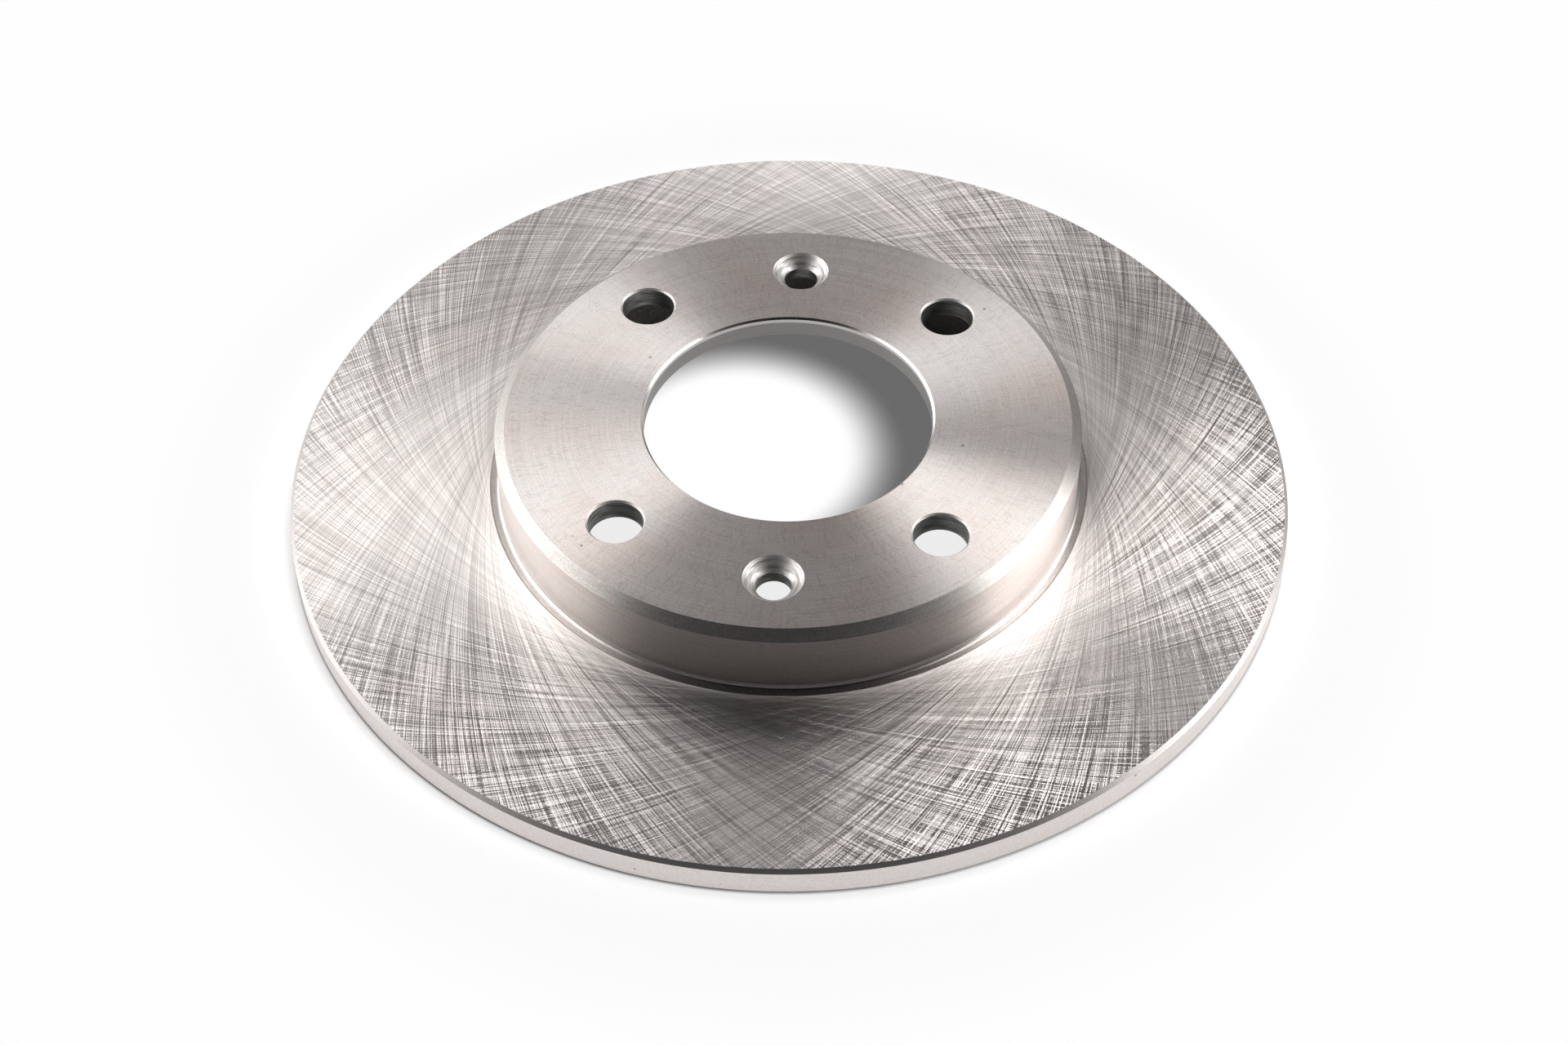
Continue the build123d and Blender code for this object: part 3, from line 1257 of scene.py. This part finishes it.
soft_boxes = {
    "left_soft_box": dict(azimuth=156.4, rise=1.6, half_width=2.175, half_height=1.35, distance=1.5),
    "right_soft_box": dict(azimuth=0.9, rise=18.5, half_width=0.56, half_height=1.48, distance=1.5),
    "back_card": dict(azimuth=131.0, rise=21.9, half_width=3.0, half_height=0.9, distance=1.2),
}
soft_boxes["left_soft_box"].update(radiance=5.1, fade=1.9, lean=-6.8, lift=1.02)
soft_boxes["right_soft_box"].update(radiance=5.6, lean=-24.7, lift=0.675)
soft_boxes["back_card"].update(radiance=0.80)

for name, box in soft_boxes.items():
    panel(name, **box)
print("soft boxes:", list(soft_boxes))

# %% Table lamp


def table_sun(name, azimuth, rise, spread, strength):
    """A distant soft lamp that lights the table and makes the shadow, but isn't seen in the metal."""
    data = bpy.data.lights.new(name, "SUN")
    data.angle = np.radians(spread)
    data.energy = strength
    lamp = bpy.data.objects.new(name, data)
    bpy.context.collection.objects.link(lamp)
    lamp.rotation_mode = "QUATERNION"
    lamp.rotation_quaternion = towards(azimuth, rise).to_track_quat("Z", "Y")
    lamp.visible_glossy = False
    print(name, "has a spread of", spread, "degrees")


table_sun("table_lamp", azimuth=-37, rise=60, spread=37, strength=1.25)

# %% Sky
backdrop_from, backdrop_to = 0.12, 0.22
dark_room = (0.006, 0.006, 0.006, 1)
white_backdrop = (0.98, 0.98, 0.98, 1)


def studio_sky():
    """
    White where the camera sees it, and in the metal a white backdrop near the horizon, which ends where
    the upward part of the direction goes from 0.12 to 0.22. All else is the dark room.
    """
    world = bpy.data.worlds.new("studio")
    world.use_nodes = True
    tree = world.node_tree
    background = tree.nodes["Background"]
    path = put(tree, "ShaderNodeLightPath").outputs
    upward = share_of(tree, put(tree, "ShaderNodeTexCoord").outputs["Generated"], 2)
    backdrop = ranged(tree, upward, backdrop_from, backdrop_to, 1.0, 0.0)
    mirrored = calc(tree, "MAXIMUM", path["Is Glossy Ray"], path["Is Transmission Ray"])
    white = calc(tree, "MAXIMUM", path["Is Camera Ray"], calc(tree, "MULTIPLY", mirrored, backdrop))
    colour = mixed(tree, white, dark_room, white_backdrop)
    tree.links.new(colour, background.inputs[0])
    bpy.context.scene.world = world


studio_sky()
bpy.context.scene.view_settings.view_transform = "Standard"
print("world:", bpy.context.scene.world.name)
